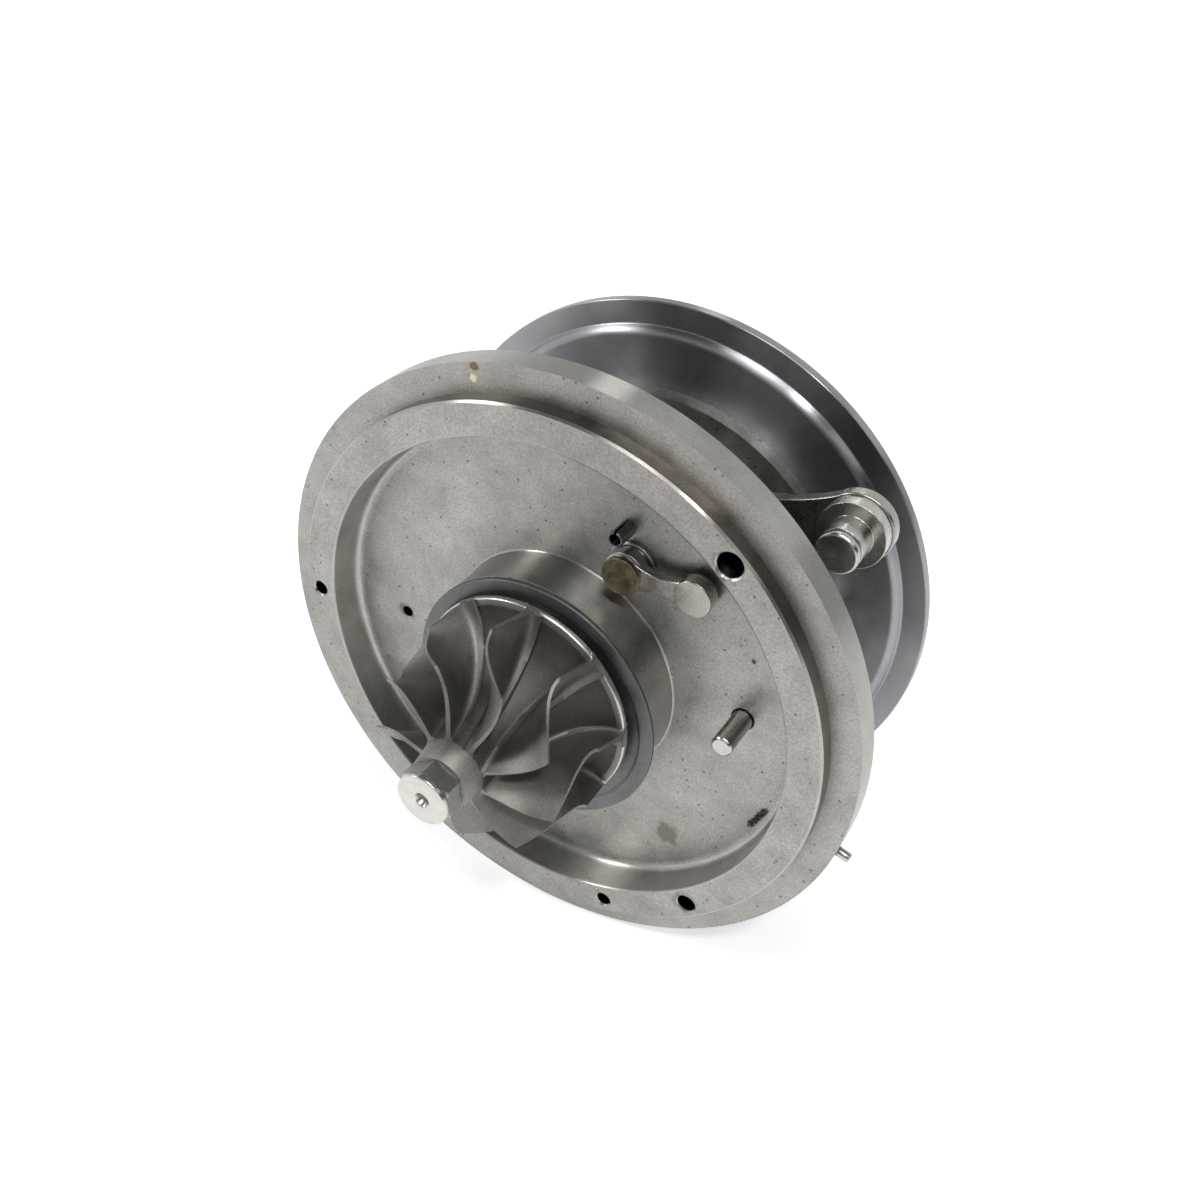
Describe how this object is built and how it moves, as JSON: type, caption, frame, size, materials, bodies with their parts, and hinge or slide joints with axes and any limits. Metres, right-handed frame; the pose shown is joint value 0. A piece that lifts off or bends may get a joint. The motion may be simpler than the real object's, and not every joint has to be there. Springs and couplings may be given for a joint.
{
  "type": "turbo cartridge",
  "caption": "Centre rotating assembly of a variable geometry turbocharger: bearing housing, bladed rotor, back plate and vane crank",
  "frame": {"origin": "on the shaft axis, in the front face of the outer turbine flange", "axes": "-Y along the shaft towards the turbine nose, +Y towards the compressor wheel, +Z towards the oil inlet, +X to the right seen from the turbine side"},
  "size_m": [0.123, 0.1189, 0.123],
  "materials": {
    "housing_iron": "turned faces, cast skin on the barrel",
    "turbine_alloy": "investment cast nickel alloy, satin",
    "ground_steel": "ground",
    "ring_iron": "plain",
    "shield_steel": "pressed sheet, dark",
    "bearing_bronze": "turned",
    "spring_steel": "hardened, dark",
    "sheet_steel": "pressed",
    "plate_iron": "turned and polished",
    "seal_rubber": "smooth",
    "screw_steel": "zinc plated",
    "compressor_aluminium": "cast and milled",
    "nut_steel": "hardened, dark",
    "bush_steel": "turned",
    "lever_steel": "forged and polished",
    "pin_steel": "ground"
  },
  "bodies": {
    "housing": {"bearing_housing": "housing_iron", "heat_shield": "shield_steel", "back_plate": "plate_iron", "back_plate_screws": "screw_steel", "back_plate_o_ring": "seal_rubber", "compressor_housing_o_ring": "seal_rubber", "crank_bush": "bush_steel", "nozzle_dowel_pin": "pin_steel", "nozzle_spring_pin": "spring_steel", "flange_index_pin": "pin_steel", "turbine_seal_ring": "ring_iron", "journal_circlips": "spring_steel", "thrust_bearing": "bearing_bronze", "oil_deflector": "sheet_steel", "compressor_seal_ring": "ring_iron"},
    "rotor": {"turbine_wheel": "turbine_alloy", "rotor_shaft": "ground_steel", "thrust_collar": "ground_steel", "oil_flinger": "ground_steel", "compressor_wheel": "compressor_aluminium", "shaft_nut": "nut_steel"},
    "turbine_bush": {"turbine_journal_bush": "bearing_bronze"},
    "compressor_bush": {"compressor_journal_bush": "bearing_bronze"},
    "vane_crank": {"crank_shaft": "lever_steel", "inner_crank_lever": "lever_steel", "outer_crank_lever": "lever_steel", "actuator_pin": "pin_steel"}
  },
  "joints": [
    {"name": "rotor_spin", "type": "hinge", "parent": "housing", "child": "rotor", "pos_m": [0, 0, 0], "axis": [0, 1, 0], "continuous": true},
    {"name": "turbine_bush_spin", "type": "hinge", "parent": "housing", "child": "turbine_bush", "pos_m": [0, 0, 0], "axis": [0, 1, 0], "continuous": true},
    {"name": "compressor_bush_spin", "type": "hinge", "parent": "housing", "child": "compressor_bush", "pos_m": [0, 0, 0], "axis": [0, 1, 0], "continuous": true},
    {"name": "vane_crank_swing", "type": "hinge", "parent": "housing", "child": "vane_crank", "pos_m": [0.01537, 0, 0.0275], "axis": [0, 1, 0], "range_deg": [-30, 30]}
  ]
}
